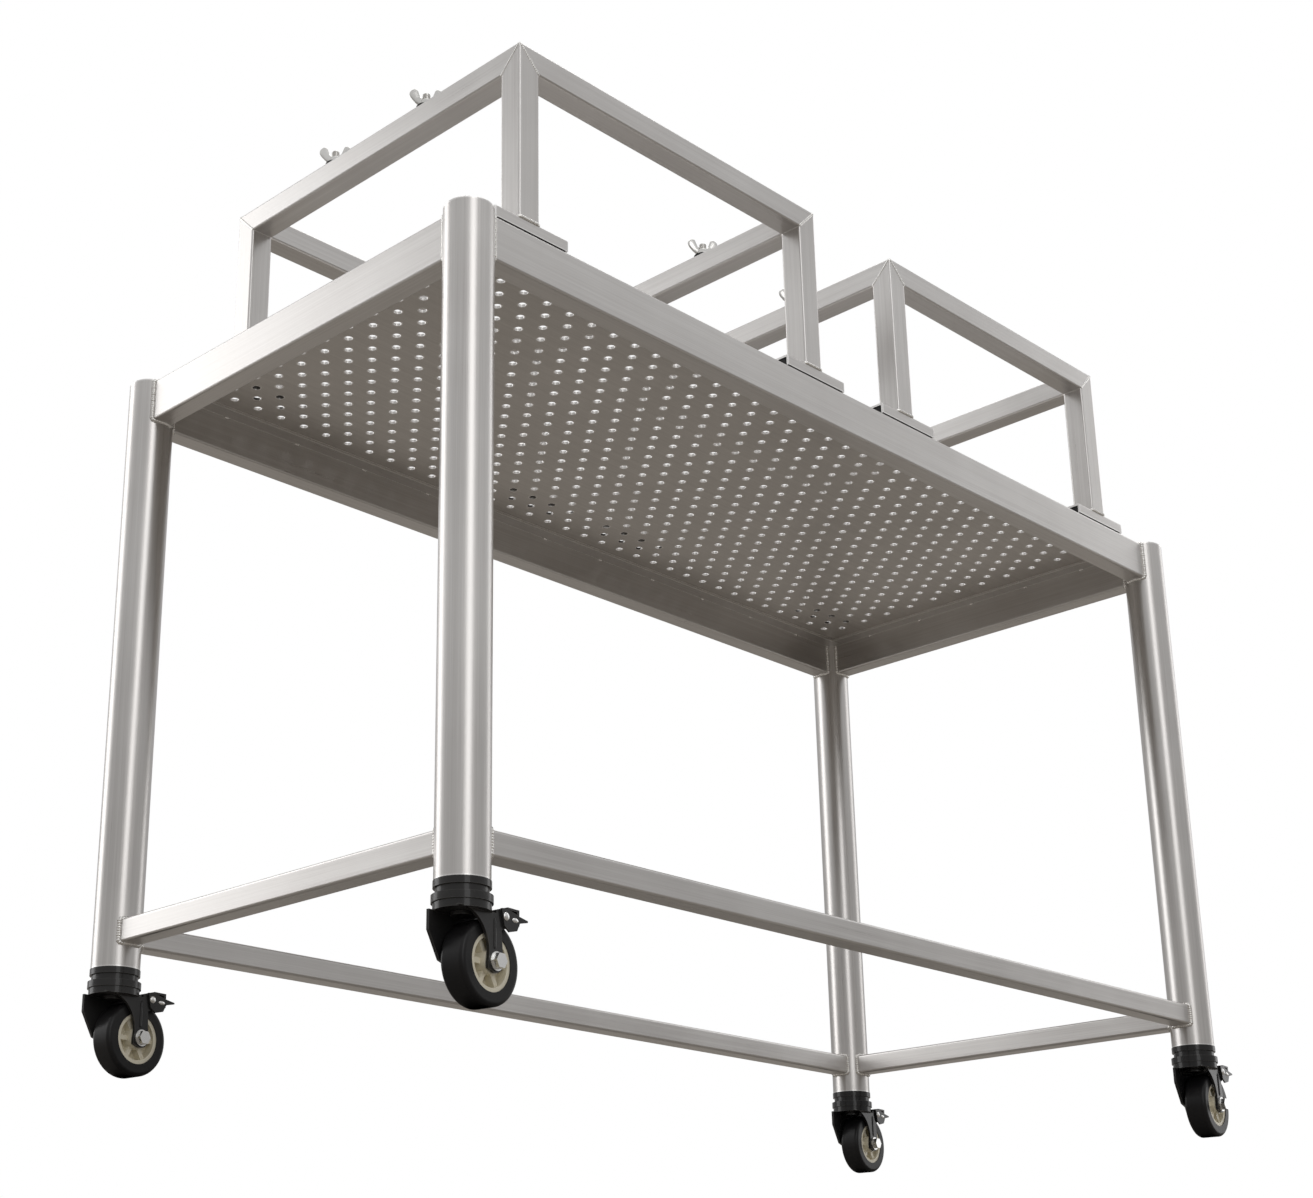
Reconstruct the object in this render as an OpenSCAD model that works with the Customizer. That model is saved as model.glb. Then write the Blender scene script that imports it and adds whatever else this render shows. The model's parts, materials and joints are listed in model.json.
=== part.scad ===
// Wheeled work platform in stainless tube: a perforated deck on four round legs with swivel
// casters, and two removable box frames with wing nuts standing on the deck.
// +X runs along the deck, +Y to its back and +Z up. The origin is on the floor, midway
// between the four legs.

/* [Legs] */
// Outside diameter of the round legs
leg_d = 50.8; // [42:0.1:60]
// Wall of the round legs
leg_wall = 1.5; // [1.2:0.1:3]
// Distance between leg centres along the deck
leg_span_x = 1230; // [1000:1:1500]
// Distance between leg centres across the deck
leg_span_y = 532; // [430:1:700]
// Length of a leg
leg_length = 671; // [500:1:900]

/* [Deck] */
// Height of the deck rails
rail_h = 49; // [40:1:60]
// Width of the deck rails
rail_w = 25; // [20:1:30]
// Wall of the deck rails
rail_wall = 1.5; // [1.2:0.1:2.5]
// How far the leg tops stand above the deck rails
leg_rise = 3; // [0:0.5:10]
// Thickness of the perforated sheet
sheet_t = 3; // [2:0.5:4]
// Gap between the sheet and the rails
sheet_gap = 0.4; // [0.2:0.1:1]
// Width of the flat bars that carry the sheet
ledge_w = 20; // [12:1:30]
// Thickness of the flat bars that carry the sheet
ledge_t = 3; // [2:0.5:5]
// Diameter of the drain holes
hole_d = 9; // [5:0.5:12]
// Distance between holes in one row
hole_pitch = 33.6; // [28:0.1:45]
// Distance between rows of holes
row_pitch = 20.4; // [16:0.1:28]
// Plain border from the inside of the bars to the outermost holes
hole_border = 7; // [5:1:20]

/* [Stretchers] */
// Height of the lower stretchers
stretcher_h = 25; // [20:1:40]
// Width of the lower stretchers
stretcher_w = 25; // [20:1:30]
// Wall of the lower stretchers
stretcher_wall = 1.5; // [1.2:0.1:2.5]
// Height of the stretchers above the leg bottoms
stretcher_rise = 24.5; // [10:0.5:200]

/* [Box frames] */
// Side of the square tube of the box frames
box_tube = 28; // [20:1:38]
// Wall of the square tube
box_wall = 1.5; // [1.2:0.1:2.5]
// Height of a box frame, from the deck to its top
box_h = 221; // [150:1:350]
// Depth of the box frames, as a share of the distance between leg centres across the deck
box_depth_share = 0.889; // [0.7:0.001:0.89]
// Distance from the front face of the deck to the box frames
box_setback = 3; // [1:1:20]
// Length of the left box frame, as a share of the distance between leg centres along the deck
box_a_share = 0.387; // [0.3:0.001:0.39]
// Length of the right box frame, as a share of the same distance
box_b_share = 0.362; // [0.3:0.001:0.38]
// Gap between the left box frame's feet and the legs
box_a_gap = 1.6; // [1:0.1:12]
// Gap between the right box frame's feet and the legs
box_b_gap = 39.6; // [1:0.1:50]

/* [Feet] */
// Length of a channel foot
foot_l = 100; // [80:1:110]
// Height of a channel foot
foot_h = 13; // [10:1:20]
// Wall of a channel foot
foot_wall = 2.5; // [1.5:0.5:4]
// How far the foot's middle lies from its post's middle
foot_shift = 4; // [0:1:10]
// How far the rubber stands out below the foot
pad_show = 3; // [2:0.5:8]
// Clearance between the rubber and the channel's walls
pad_gap = 0.2; // [0.1:0.1:0.5]

/* [Wing nuts] */
// Diameter of the studs
stud_d = 8; // [6:1:10]
// Distance between the two studs on a rail
stud_spacing = 154; // [120:1:220]
// Length of a stud above its rail
stud_rise = 20; // [16:1:32]
// Diameter of the rubber washers
washer_d = 22; // [18:1:26]
// Thickness of the rubber washers
washer_t = 4; // [2:0.5:6]
// Span over the wings
wing_span = 37; // [30:1:48]
// Height of the wings above the nut's base
wing_h = 23; // [14:1:26]
// Thickness of a wing
wing_t = 3; // [2:0.5:4]
// Diameter of the wing nut's boss
nut_d = 15; // [12:1:20]
// Height of the wing nut's boss
nut_h = 8; // [6:1:12]

/* [Casters] */
// Height of a caster, from the floor to the leg
caster_h = 107; // [95:1:140]
// Diameter of the wheel
wheel_d = 77; // [60:1:80]
// Width of the wheel
wheel_w = 27; // [18:1:30]
// Diameter of the wheel's nylon hub
hub_d = 52; // [40:1:60]
// Distance from the swivel axis to the wheel's axle
trail = 24; // [15:1:32]
// Angle that the casters are turned to, from the long axis
caster_turn = 7; // [-30:1:30]
// Diameter of the caster's head
head_d = 55; // [48:1:64]
// Thickness of the fork's plate
fork_t = 3; // [2:0.5:4]
// Diameter of the axle bolt
axle_d = 8; // [6:1:10]
// Diameter of the sleeve that the wheel turns on
sleeve_d = 13; // [11:1:16]
// Diameter of the swivel pin and the stem
stem_d = 12; // [10:1:16]
// Length of the stem inside the leg
stem_l = 30; // [20:1:50]

/* [Fits] */
// Radial clearance of the turning fits
run_fit = 0.06; // [0.02:0.01:0.1]
// Clearance between pieces that move past each other
move_gap = 0.4; // [0.3:0.1:1]

/* [Hidden] */
$fn = 48;
eps = 0.01;
leg_x = leg_span_x / 2;
leg_y = leg_span_y / 2;
leg_r = leg_d / 2;
leg_bevel = 1.5;
deck_z = caster_h + leg_length - leg_rise;
rail_x = leg_x - rail_w / 2;
rail_y = leg_y - rail_w / 2;
rail_r = 3;
tube_r = 2.5;
stretcher_z = caster_h + stretcher_rise;

// Sheet and its holes: rows alternate between an even and an odd count of holes
sheet_x = rail_x - sheet_gap;
sheet_y = rail_y - sheet_gap;
ledge_top = deck_z - sheet_t;
field_x = rail_x - ledge_w - hole_border - hole_d / 2;
field_y = rail_y - ledge_w - hole_border - hole_d / 2;
row_count = floor(2 * field_y / row_pitch) + 1;
hole_count = floor(2 * field_x / hole_pitch) + 1;
corner_relief = leg_r + sheet_gap;

// Box frames
box_a_length = box_a_share * leg_span_x;
box_b_length = box_b_share * leg_span_x;
box_depth = box_depth_share * leg_span_y;
box_front = -leg_y - rail_w / 2 + box_setback;
box_back = box_front + box_depth;
box_mid = (box_front + box_back) / 2;
box_top = deck_z + box_h;
post_z = deck_z + pad_show + foot_h;
foot_reach = foot_l / 2 - box_tube / 2;
box_a_x = -leg_x + leg_r + box_a_gap + foot_reach - foot_shift;
box_b_x = leg_x - leg_r - box_b_gap - foot_reach - foot_shift - box_b_length;
nut_gap = 0.3;
nut_z = box_top + washer_t + nut_gap;
stud_collar_t = 1.5;
wing_turn = [-40, -48, -35, -50];

// Casters
wheel_r = wheel_d / 2;
ring_h = 6.5;
head_top = caster_h - 2 * ring_h;
wheel_space = 3;
head_z = wheel_d + wheel_space;
head_h = head_top - head_z;
ring_d = head_d - 3;
neck_d = head_d - 7;
fork_in = wheel_w / 2 + 2;
fork_out = fork_in + fork_t;
fork_foot_r = 10;
pin_head_d = 20;
pin_head_h = 3;
brake_x = trail + 11;
brake_z = wheel_r + 41;
brake_pin_d = 6;
brake_t = 2;
brake_in = fork_out + move_gap;
brake_out = brake_in + brake_t;

CORNERS = ["front_left", "front_right", "back_left", "back_right"];
SIGN_X = [-1, 1, -1, 1];
SIGN_Y = [-1, -1, 1, 1];
STEEL = "silver";
BLACK = "dimgray";

// A rectangle with round corners, centred
module rounded(w, h, r) {
    square([w - 2 * r, h], center = true);
    square([w, h - 2 * r], center = true);
    for (x = [-1, 1], y = [-1, 1]) {
        translate([x * (w / 2 - r), y * (h / 2 - r)]) circle(r);
    }
}

// The section of a rectangular tube
module tube_section(w, h, wall, r) {
    difference() {
        rounded(w, h, r);
        rounded(w - 2 * wall, h - 2 * wall, r - wall + 0.5);
    }
}

// A tube along X, centred on it
module tube_x(l, w, h, wall, r) {
    translate([-l / 2, 0, 0]) rotate([90, 0, 90]) linear_extrude(l) tube_section(w, h, wall, r);
}

module leg_space(z, h) {
    for (sx = [-1, 1], sy = [-1, 1]) {
        translate([sx * leg_x, sy * leg_y, z]) cylinder(r = leg_r, h = h);
    }
}

// A leg: an open tube with a plate welded in its top, dressed to a bevelled edge
module leg(i) {
    color(STEEL) translate([SIGN_X[i] * leg_x, SIGN_Y[i] * leg_y, caster_h]) difference() {
        union() {
            cylinder(r = leg_r, h = leg_length - leg_bevel);
            translate([0, 0, leg_length - leg_bevel]) {
                cylinder(r1 = leg_r, r2 = leg_r - leg_bevel, h = leg_bevel);
            }
        }
        translate([0, 0, -eps]) cylinder(r = leg_r - leg_wall, h = leg_length - leg_wall + eps);
    }
}

// A long tube between two legs, its ends cut to the legs' curve
module long_tube(side, w, h, wall, z) {
    color(STEEL) difference() {
        translate([0, side * leg_y, z + h / 2]) tube_x(leg_span_x - leg_d / 2, w, h, wall, rail_r);
        leg_space(z - 1, h + 2);
    }
}

// A cross tube between two legs, its ends cut to the legs' curve and the long tubes
module cross_tube(side, w, h, wall, z) {
    length = leg_span_y - w;
    color(STEEL) difference() {
        translate([side * leg_x, 0, z + h / 2]) rotate([0, 0, 90]) tube_x(length, w, h, wall, rail_r);
        leg_space(z - 1, h + 2);
    }
}

// Flat bars welded inside the deck rails
module deck_ledge() {
    color(STEEL) translate([0, 0, ledge_top - ledge_t]) difference() {
        linear_extrude(ledge_t) difference() {
            square([2 * rail_x, 2 * rail_y], center = true);
            square([2 * (rail_x - ledge_w), 2 * (rail_y - ledge_w)], center = true);
        }
        leg_space(-1, ledge_t + 2);
    }
}

// One row of holes, the odd rows set over by half a pitch
module hole_row(odd) {
    count = hole_count - (odd ? 1 : 0);
    for (i = [0 : count - 1]) {
        translate([(i - (count - 1) / 2) * hole_pitch, 0]) circle(d = hole_d, $fn = 24);
    }
}

module deck_sheet() {
    color(STEEL) translate([0, 0, ledge_top]) linear_extrude(sheet_t) difference() {
        square([2 * sheet_x, 2 * sheet_y], center = true);
        for (sx = [-1, 1], sy = [-1, 1]) {
            translate([sx * leg_x, sy * leg_y]) circle(corner_relief);
        }
        for (j = [0 : row_count - 1]) {
            translate([0, (j - (row_count - 1) / 2) * row_pitch]) hole_row(j % 2 == 1);
        }
    }
}

// Plugs welded into the leg ends, tapped for the stems
module leg_inserts() {
    color(STEEL) for (i = [0 : 3]) {
        translate([SIGN_X[i] * leg_x, SIGN_Y[i] * leg_y, caster_h]) difference() {
            cylinder(r = leg_r - leg_wall, h = stem_l - 5);
            translate([0, 0, -eps]) cylinder(d = stem_d, h = stem_l);
        }
    }
}

// The still part of each caster: the stem, the guard ring, the raceway and the swivel pin
module caster_stems() {
    color(BLACK) for (i = [0 : 3]) {
        translate([SIGN_X[i] * leg_x, SIGN_Y[i] * leg_y, 0]) {
            translate([0, 0, caster_h]) cylinder(d = stem_d, h = stem_l);
            translate([0, 0, caster_h - ring_h]) cylinder(d = ring_d, h = ring_h);
            translate([0, 0, head_z + head_h + move_gap]) {
                cylinder(d = neck_d, h = caster_h - ring_h - head_z - head_h - move_gap);
            }
            translate([0, 0, head_z - move_gap]) cylinder(d = stem_d, h = head_h + 4);
            translate([0, 0, head_z - move_gap - pin_head_h]) {
                cylinder(d = pin_head_d, h = pin_head_h);
            }
        }
    }
}

// Places a caster's own frame: X towards the wheel, Z up from the floor, on the swivel axis
module at_caster(i) {
    translate([SIGN_X[i] * leg_x, SIGN_Y[i] * leg_y, 0]) rotate([0, 0, caster_turn]) children();
}

// A round bar along the caster's Y, centred
module bar_y(x, z, d, l) {
    translate([x, l / 2, z]) rotate([90, 0, 0]) cylinder(d = d, h = l);
}

// The outline of a fork leg, in X and Z: a wide top that narrows to the axle, and a brake ear.
// The full leg closes the side; the other one is cut away in an arch behind the wheel.
module fork_outline(full) {
    back_x = -head_d / 2 + 2;
    front_x = head_d / 2 + 4;
    top_z = head_z + 1;
    skirt = full ? 18 : 5;
    shoulder_z = wheel_r + fork_foot_r + 18;
    arch_r = 35;
    arch_z = wheel_r + 7;
    ear_in = 4;
    ear_out = 6;
    ear_up = 4.5;
    difference() {
        union() {
            polygon([
                [back_x, top_z],
                [back_x, top_z - skirt],
                [trail - 3.5 * fork_foot_r, wheel_r],
                [trail, wheel_r - fork_foot_r],
                [trail + fork_foot_r, wheel_r],
                [front_x, shoulder_z],
                [front_x - ear_in, top_z]
            ]);
            translate([trail, wheel_r]) circle(fork_foot_r);
            polygon([
                [trail, brake_z + ear_up],
                [brake_x + ear_in, brake_z + ear_up],
                [brake_x + ear_out, brake_z - ear_out - 2],
                [trail + ear_in, brake_z - 2 * ear_out - 2]
            ]);
        }
        if (!full) {
            translate([trail - fork_foot_r - arch_r + 1, arch_z]) circle(arch_r);
            translate([back_x - 1, wheel_r - 2 * fork_foot_r]) {
                square([trail - fork_foot_r - back_x + 1, arch_z - wheel_r + 2 * fork_foot_r]);
            }
        }
    }
}

// The fork: a stepped head on the swivel pin and two pressed legs, with ears for the brake
module fork(i) {
    step = 3;
    color(BLACK) at_caster(i) difference() {
        union() {
            translate([0, 0, head_z]) cylinder(d = head_d - step, h = head_h);
            translate([0, 0, head_z + head_h / 2]) cylinder(d = head_d, h = head_h / 2);
            for (s = [-1, 1]) {
                translate([0, s * (fork_in + fork_t / 2), 0]) rotate([90, 0, 0]) {
                    linear_extrude(fork_t, center = true) fork_outline(s > 0);
                }
            }
        }
        translate([0, 0, head_z - 1]) cylinder(r = stem_d / 2 + run_fit, h = head_h + 2);
        bar_y(trail, wheel_r, axle_d, 3 * fork_out);
        bar_y(brake_x, brake_z, brake_pin_d + 2 * run_fit, 3 * fork_out);
    }
}

// The axle: a bolt with a hexagon and a washer at each end, and the sleeve between the legs
module axle(i) {
    hex_d = 14.5;
    hex_h = 5.5;
    plate_d = 17;
    plate_t = 1.6;
    color("lightgray") at_caster(i) {
        bar_y(trail, wheel_r, axle_d, 2 * fork_out + 12);
        bar_y(trail, wheel_r, sleeve_d, 2 * fork_in);
        for (s = [-1, 1]) {
            translate([trail, s * (fork_out + plate_t / 2), wheel_r]) rotate([90, 0, 0]) {
                cylinder(d = plate_d, h = plate_t, center = true);
            }
            translate([trail, s * (fork_out + plate_t + hex_h / 2), wheel_r]) rotate([90, 0, 0]) {
                cylinder(d = hex_d, h = hex_h, center = true, $fn = 6);
            }
        }
    }
}

// The hub: a rim, a boss and six webs, in nylon
module hub(i) {
    boss_r = 11;
    rim_t = 4;
    web_w = 5;
    disc_t = 4;
    inset = 4;
    color("wheat") at_caster(i) translate([trail, 0, wheel_r]) rotate([90, 0, 0]) difference() {
        union() {
            difference() {
                cylinder(d = hub_d, h = wheel_w - 2, center = true);
                cylinder(d = hub_d - 2 * rim_t, h = wheel_w, center = true);
            }
            cylinder(r = boss_r, h = wheel_w + 2, center = true);
            cylinder(d = hub_d - rim_t, h = disc_t, center = true);
            for (k = [0 : 5]) {
                rotate([0, 0, 60 * k]) translate([0, -web_w / 2, inset - wheel_w / 2]) {
                    cube([hub_d / 2 - 1, web_w, wheel_w - 2 * inset]);
                }
            }
        }
        cylinder(r = sleeve_d / 2 + run_fit, h = 2 * wheel_w, center = true);
    }
}

// The tyre, moulded round the hub
module tyre(i) {
    crown = 4.5;
    solid = 40;
    color(BLACK) at_caster(i) translate([trail, 0, wheel_r]) rotate([90, 0, 0]) {
        rotate_extrude($fn = 96) intersection() {
            translate([wheel_r - solid / 2, 0]) rounded(solid, wheel_w, crown);
            translate([hub_d / 2, -wheel_w]) square([wheel_r, 2 * wheel_w]);
        }
    }
}

// The brake: two pointed side plates on a pin through the fork's ears, joined by a pedal
module brake(i) {
    pedal_in = 15;
    pedal_out = 18;
    pedal_low = -6;
    pedal_high = 8.5;
    point = 30;
    rivet_x = 12.4;
    rivet_d = 4;
    color(BLACK) at_caster(i) {
        for (s = [-1, 1]) {
            translate([brake_x, s * (brake_in + brake_t / 2), brake_z]) rotate([90, 0, 0]) {
                linear_extrude(brake_t, center = true) polygon([
                    [-6, 6.5],
                    [1, 7.5],
                    [pedal_out, 3],
                    [point, 1],
                    [point, -0.5],
                    [pedal_out + 1, -3],
                    [pedal_in, -10.5],
                    [5, -13],
                    [-2, -8.5]
                ]);
            }
        }
        translate([brake_x + pedal_in, -brake_out, brake_z + pedal_low]) {
            cube([pedal_out - pedal_in, 2 * brake_out, pedal_high - pedal_low]);
        }
        translate([brake_x + brake_t, -brake_out, brake_z + pedal_high - brake_t]) {
            cube([pedal_out - brake_t, 2 * brake_out, brake_t]);
        }
        bar_y(brake_x, brake_z, brake_pin_d, 2 * brake_out + 2);
        bar_y(brake_x + rivet_x, brake_z - 1.5, rivet_d, 2 * brake_out + 1.5);
    }
}

// A square tube along X from the origin, mitred three ways at both ends; it runs under the
// top plane and behind the front plane
module mitred(l) {
    half = box_tube / 2;
    intersection() {
        translate([l / 2, half, -half]) tube_x(l, box_tube, box_tube, box_wall, tube_r);
        translate([0, -1, 0]) rotate([-90, 0, 0]) linear_extrude(box_tube + 2) polygon([
            [0, 0], [l, 0], [l - box_tube, box_tube], [box_tube, box_tube]
        ]);
        translate([0, 0, -box_tube - 1]) linear_extrude(box_tube + 2) polygon([
            [0, 0], [l, 0], [l - box_tube, box_tube], [box_tube, box_tube]
        ]);
    }
}

// The top rails of a box frame, by side
module box_rail(x0, length, side, count) {
    color(STEEL) translate([x0, 0, box_top]) {
        if (side == "front") translate([0, box_front, 0]) mitred(length);
        if (side == "back") translate([length, box_back, 0]) rotate([0, 0, 180]) mitred(length);
        if (side == "left") cross_rail(box_back, -90, true);
        if (side == "right") translate([length, 0, 0]) cross_rail(box_front, 90, count > 2);
    }
}

// A cross rail, turned so that its outer face lies on X = 0, its top wall drilled for the studs
module cross_rail(y, turn, drilled) {
    inward = turn > 0 ? -1 : 1;
    difference() {
        translate([0, y, 0]) rotate([0, 0, turn]) mitred(box_depth);
        if (drilled) for (s = [-1, 1]) {
            translate([inward * box_tube / 2, box_mid + s * stud_spacing / 2, -box_wall - 1]) {
                cylinder(d = stud_d, h = box_wall + 2);
            }
        }
    }
}

// A post, mitred into the corner above it: the part of the corner where the height is greatest
module post(l) {
    half = box_tube / 2;
    intersection() {
        translate([half, half, -l / 2]) rotate([0, 90, 0]) tube_x(l, box_tube, box_tube, box_wall, tube_r);
        translate([0, box_tube + 1, 0]) rotate([90, 0, 0]) linear_extrude(box_tube + 2) polygon([
            [0, 0], [box_tube, -box_tube], [box_tube, -l], [0, -l]
        ]);
        translate([-1, 0, 0]) rotate([90, 0, 90]) linear_extrude(box_tube + 2) polygon([
            [0, 0], [box_tube, -box_tube], [box_tube, -l], [0, -l]
        ]);
    }
}

// Puts its children at each corner of a box frame, mirrored to face inwards
module at_corners(x0, length, z) {
    for (mx = [0, 1], my = [0, 1]) {
        translate([x0 + mx * length, my == 0 ? box_front : box_back, z]) {
            mirror([mx, 0, 0]) mirror([0, my, 0]) children();
        }
    }
}

module box_posts(x0, length) {
    color(STEEL) at_corners(x0, length, box_top) post(box_top - post_z);
}

// Puts its children at each foot: X along the deck from the post's middle, Y across the post
module at_feet(x0, length) {
    half = box_tube / 2;
    for (x = [x0 + half, x0 + length - half], y = [box_front + half, box_back - half]) {
        translate([x + foot_shift, y, deck_z]) children();
    }
}

// A foot: an inverted channel with bent edges
module foot() {
    half = box_tube / 2;
    inside = box_tube - 2 * foot_wall;
    bend = 2;
    translate([-foot_l / 2, 0, pad_show]) rotate([90, 0, 90]) linear_extrude(foot_l) difference() {
        union() {
            translate([-half, 0]) square([box_tube, foot_h - bend]);
            translate([-half + bend, 0]) square([box_tube - 2 * bend, foot_h]);
            for (s = [-1, 1]) translate([s * (half - bend), foot_h - bend]) circle(bend);
        }
        translate([-inside / 2, -1]) square([inside, foot_h - foot_wall + 1]);
    }
}

module box_feet(x0, length) {
    color(STEEL) at_feet(x0, length) foot();
}

// A rubber block that fills the channel and stands on the deck
module box_pads(x0, length) {
    width = box_tube - 2 * foot_wall - 2 * pad_gap;
    height = pad_show + foot_h - foot_wall;
    color(BLACK) at_feet(x0, length) translate([-foot_l / 2 + 1, -width / 2, 0]) {
        cube([foot_l - 2, width, height]);
    }
}

// Puts its children at a stud, k counting from the front on the left rail and then the right
function stud_x(x0, length, k) = k < 2 ? x0 + box_tube / 2 : x0 + length - box_tube / 2;
function stud_y(k) = box_mid + (k % 2 == 0 ? -1 : 1) * stud_spacing / 2;

module at_stud(x0, length, k, z) {
    translate([stud_x(x0, length, k), stud_y(k), z]) children();
}

// Studs welded into the top wall from below, each on a collar inside the tube
module box_studs(x0, length, count) {
    base = box_wall + stud_collar_t;
    color(STEEL) for (k = [0 : count - 1]) at_stud(x0, length, k, box_top - base) {
        cylinder(d = stud_d, h = base + stud_rise);
        cylinder(d = 2 * stud_d, h = stud_collar_t);
    }
}

module box_washers(x0, length, count) {
    color(BLACK) for (k = [0 : count - 1]) at_stud(x0, length, k, box_top) difference() {
        cylinder(d = washer_d, h = washer_t);
        translate([0, 0, -1]) cylinder(d = stud_d, h = washer_t + 2);
    }
}

// The outline of one wing, in X and Z
module wing_outline() {
    tip = wing_span / 2;
    root = stud_d / 2 + 1.5;
    round_r = 4.5;
    polygon([
        [root, 1],
        [nut_d / 2 + 2, 2],
        [tip - 4, nut_h],
        [tip, wing_h - round_r],
        [tip - round_r, wing_h],
        [tip - 7, wing_h - 1],
        [tip - 9, nut_h + 3],
        [root, nut_h - 1]
    ]);
    translate([tip - round_r, wing_h - round_r]) circle(round_r);
}

// A wing nut: a boss with a running bore and two upswept wings
module wing_nut(x0, length, k, turn) {
    bevel = 2;
    color(STEEL) at_stud(x0, length, k, nut_z) rotate([0, 0, turn]) difference() {
        union() {
            cylinder(d = nut_d, h = nut_h - bevel);
            translate([0, 0, nut_h - bevel]) cylinder(d1 = nut_d, d2 = nut_d - 3, h = bevel);
            for (s = [0, 180]) rotate([0, 0, s]) {
                translate([0, wing_t / 2, 0]) rotate([90, 0, 0]) linear_extrude(wing_t) {
                    wing_outline();
                }
            }
        }
        translate([0, 0, -1]) cylinder(r = stud_d / 2 + run_fit, h = nut_h + 2);
    }
}

for (i = [0 : 3]) {
    leg(i);
    fork(i);
    axle(i);
    hub(i);
    tyre(i);
    brake(i);
}
long_tube(-1, rail_w, rail_h, rail_wall, deck_z - rail_h);  // rail_front
long_tube(1, rail_w, rail_h, rail_wall, deck_z - rail_h);  // rail_back
cross_tube(-1, rail_w, rail_h, rail_wall, deck_z - rail_h);  // rail_left
cross_tube(1, rail_w, rail_h, rail_wall, deck_z - rail_h);  // rail_right
deck_sheet();
deck_ledge();
union() {  // stretcher_front
    long_tube(-1, stretcher_w, stretcher_h, stretcher_wall, stretcher_z);
}
union() {  // stretcher_back
    long_tube(1, stretcher_w, stretcher_h, stretcher_wall, stretcher_z);
}
union() {  // stretcher_left
    cross_tube(-1, stretcher_w, stretcher_h, stretcher_wall, stretcher_z);
}
union() {  // stretcher_right
    cross_tube(1, stretcher_w, stretcher_h, stretcher_wall, stretcher_z);
}
leg_inserts();
caster_stems();
for (side = ["front", "back", "left", "right"]) {
    box_rail(box_a_x, box_a_length, side, 4);
    box_rail(box_b_x, box_b_length, side, 2);
}
box_posts(box_a_x, box_a_length);  // box_a_posts
box_posts(box_b_x, box_b_length);  // box_b_posts
box_feet(box_a_x, box_a_length);  // box_a_feet
box_feet(box_b_x, box_b_length);  // box_b_feet
box_pads(box_a_x, box_a_length);  // box_a_pads
box_pads(box_b_x, box_b_length);  // box_b_pads
box_studs(box_a_x, box_a_length, 4);  // box_a_studs
box_studs(box_b_x, box_b_length, 2);  // box_b_studs
box_washers(box_a_x, box_a_length, 4);  // box_a_washers
box_washers(box_b_x, box_b_length, 2);  // box_b_washers
for (k = [0 : 3]) {
    union() {
        wing_nut(box_a_x, box_a_length, k, wing_turn[k]);
    }
}
for (k = [0 : 1]) {
    union() {
        wing_nut(box_b_x, box_b_length, k, wing_turn[k]);
    }
}
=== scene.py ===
"""The looks of a wheeled stainless work platform with two removable box frames."""

import json
import logging
import math
from dataclasses import dataclass
from enum import Enum

import bmesh
import bpy
import numpy as np
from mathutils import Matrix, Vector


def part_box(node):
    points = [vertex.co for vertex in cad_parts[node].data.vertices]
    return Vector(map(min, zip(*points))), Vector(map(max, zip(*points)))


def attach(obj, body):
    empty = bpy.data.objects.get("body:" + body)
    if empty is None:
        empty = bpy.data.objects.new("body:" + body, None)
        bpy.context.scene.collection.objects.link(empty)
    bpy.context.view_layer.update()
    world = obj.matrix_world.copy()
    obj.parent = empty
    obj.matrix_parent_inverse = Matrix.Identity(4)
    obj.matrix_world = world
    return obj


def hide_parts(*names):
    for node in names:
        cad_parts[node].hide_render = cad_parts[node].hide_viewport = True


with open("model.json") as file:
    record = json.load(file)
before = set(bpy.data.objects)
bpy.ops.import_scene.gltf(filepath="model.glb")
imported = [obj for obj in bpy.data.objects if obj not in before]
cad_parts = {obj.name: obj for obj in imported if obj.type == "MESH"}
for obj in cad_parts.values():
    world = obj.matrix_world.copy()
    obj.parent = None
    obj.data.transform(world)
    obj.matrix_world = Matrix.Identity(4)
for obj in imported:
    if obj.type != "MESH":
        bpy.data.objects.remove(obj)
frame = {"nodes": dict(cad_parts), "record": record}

log = logging.getLogger("platform")
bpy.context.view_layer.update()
MM = 0.001
CORNERS = ("front_left", "front_right", "back_left", "back_right")
WING_TURNS = (-40, -48, -35, -50)

Shape = tuple[np.ndarray, list[list[int]]]
Colour = tuple[float, float, float]
Nodes = bpy.types.Nodes
Links = bpy.types.NodeLinks
Socket = bpy.types.NodeSocket
Shader = bpy.types.ShaderNode


class Grain(Enum):
    """The direction in which a steel face was brushed, as noise scales along X, Y and Z."""

    ALONG_X = (6.0, 900.0, 900.0)
    ALONG_Y = (900.0, 6.0, 900.0)
    ALONG_Z = (900.0, 900.0, 6.0)


# ---------------------------------------------------------------- meshes


def closed_grid(points: np.ndarray, caps: bool = True) -> Shape:
    """Turns a grid of rings into vertices and faces.

    Ring i, point j is joined to ring i + 1 and point j + 1; points wrap round each ring.

    Args:
        points: array of shape (rings, points, 3).
        caps: closes the first and the last ring with a fan face; otherwise the last ring
            is joined to the first one, which makes a loop.

    Returns:
        The vertices as one array, and the faces as lists of vertex numbers.
    """
    rings, count = points.shape[:2]
    i, j = np.meshgrid(np.arange(rings if not caps else rings - 1), np.arange(count), indexing="ij")
    nxt, side = (i + 1) % rings, (j + 1) % count
    quads = np.stack([i * count + j, nxt * count + j, nxt * count + side, i * count + side], -1)
    faces = quads.reshape(-1, 4).tolist()
    if caps:
        faces.append(np.arange(count).tolist())
        faces.append((np.arange(count)[::-1] + (rings - 1) * count).tolist())
    return points.reshape(-1, 3), faces


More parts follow.
